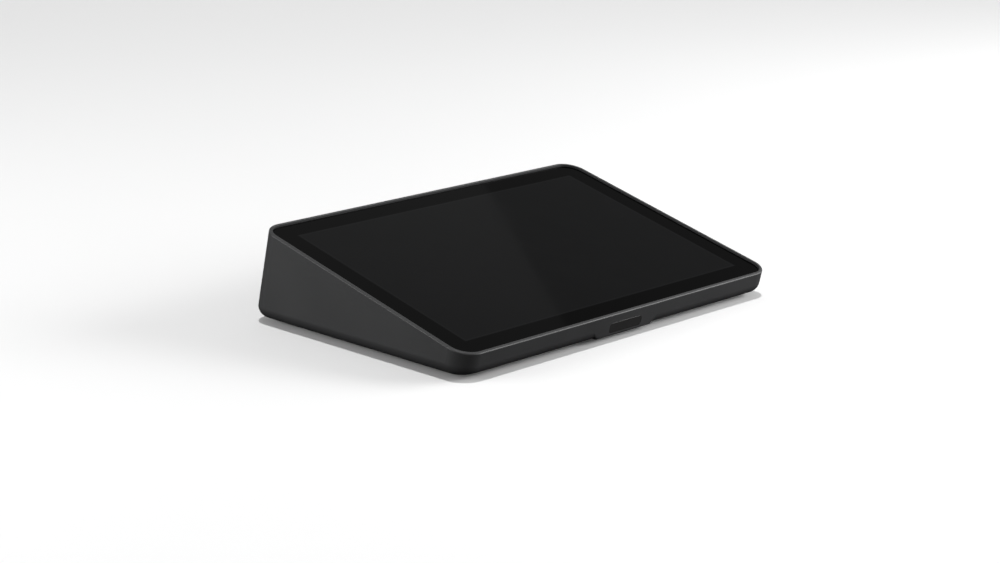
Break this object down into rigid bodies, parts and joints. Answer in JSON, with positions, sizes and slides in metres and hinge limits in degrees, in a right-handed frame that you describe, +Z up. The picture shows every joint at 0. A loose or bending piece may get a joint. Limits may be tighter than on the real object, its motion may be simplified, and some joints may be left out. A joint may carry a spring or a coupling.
{
  "type": "countertop touchscreen payment terminal",
  "caption": "Low wedge-shaped countertop touchscreen terminal: flush black glass in a dark plastic housing, presence sensor in the front wall, slide-off cable cover at the back.",
  "frame": {"origin": "centre of the footprint, on the plane that the rubber feet stand on", "axes": "+X to the user's right, +Y away from the user (towards the tall rear wall), +Z up; the glass slopes up towards +Y by 14 degrees"},
  "size_m": [0.2468, 0.1712, 0.0547],
  "materials": {
    "shell_plastic": "fine matte texture, very dark grey",
    "cover_plastic": "fine matte texture, very dark grey",
    "cover_glass": "polished, black printed border",
    "foil": "thin copper loop on a dark laminate",
    "tape": "matt black foam tape",
    "lcd": "polished",
    "backlight": "white, satin",
    "steel_sheet": "zinc plated sheet",
    "screw_steel": "zinc plated",
    "screw_black": "black plated",
    "circuit_board": "green solder mask",
    "chip": "black moulding compound",
    "pad": "soft grey-blue",
    "tinned_steel": "bright tin plate",
    "connector_plastic": "black nylon",
    "flex": "amber film",
    "cell_steel": "satin nickel",
    "lens": "dark infrared window",
    "foot_rubber": "matt black",
    "brass": "turned",
    "label": "blank satin film"
  },
  "bodies": {
    "base": {"housing": "shell_plastic", "bottom_cover": "cover_plastic", "cover_glass": "cover_glass", "contactless_antenna": "foil", "glass_bonding_tape": "tape", "lcd_panel": "lcd", "backlight_unit": "backlight", "chassis_plate": "steel_sheet", "chassis_screws": "screw_steel", "bottom_cover_screws": "screw_black", "main_board": "circuit_board", "main_board_screws": "screw_steel", "processor": "chip", "thermal_pad": "pad", "shield_can": "tinned_steel", "secure_chip": "chip", "memory_chips": "chip", "coin_cell_holder": "connector_plastic", "coin_cell": "cell_steel", "sounder": "connector_plastic", "display_connector": "connector_plastic", "display_ribbon": "flex", "network_socket": "connector_plastic", "usb_a_socket_shell": "tinned_steel", "usb_a_socket_insert": "connector_plastic", "usb_c_socket": "tinned_steel", "port_bracket": "steel_sheet", "cable_well": "cover_plastic", "cable_well_screws": "screw_steel", "port_bracket_screws": "screw_steel", "sensor_window": "lens", "sensor_board": "circuit_board", "presence_sensors": "chip", "sensor_board_screws": "screw_steel", "button_switch": "connector_plastic", "button_board": "circuit_board", "button_board_screws": "screw_steel", "lock_plate": "steel_sheet", "mount_inserts": "brass", "rating_label": "label", "foot_front_left": "foot_rubber", "foot_front_right": "foot_rubber", "foot_rear_left": "foot_rubber", "foot_rear_right": "foot_rubber"},
    "power_button": {"power_button": "shell_plastic", "switch_plunger": "connector_plastic"},
    "cable_cover": {"cable_cover": "shell_plastic"}
  },
  "joints": [
    {"name": "power_button_press", "type": "slide", "parent": "base", "child": "power_button", "axis": [0, -0.9703, -0.2419], "range_m": [0, 0.0005], "stiffness_N_per_m": 1000, "springref_m": -0.001},
    {"name": "cable_cover_slide", "type": "slide", "parent": "base", "child": "cable_cover", "axis": [0, 1, 0], "range_m": [0, 0.055]}
  ]
}
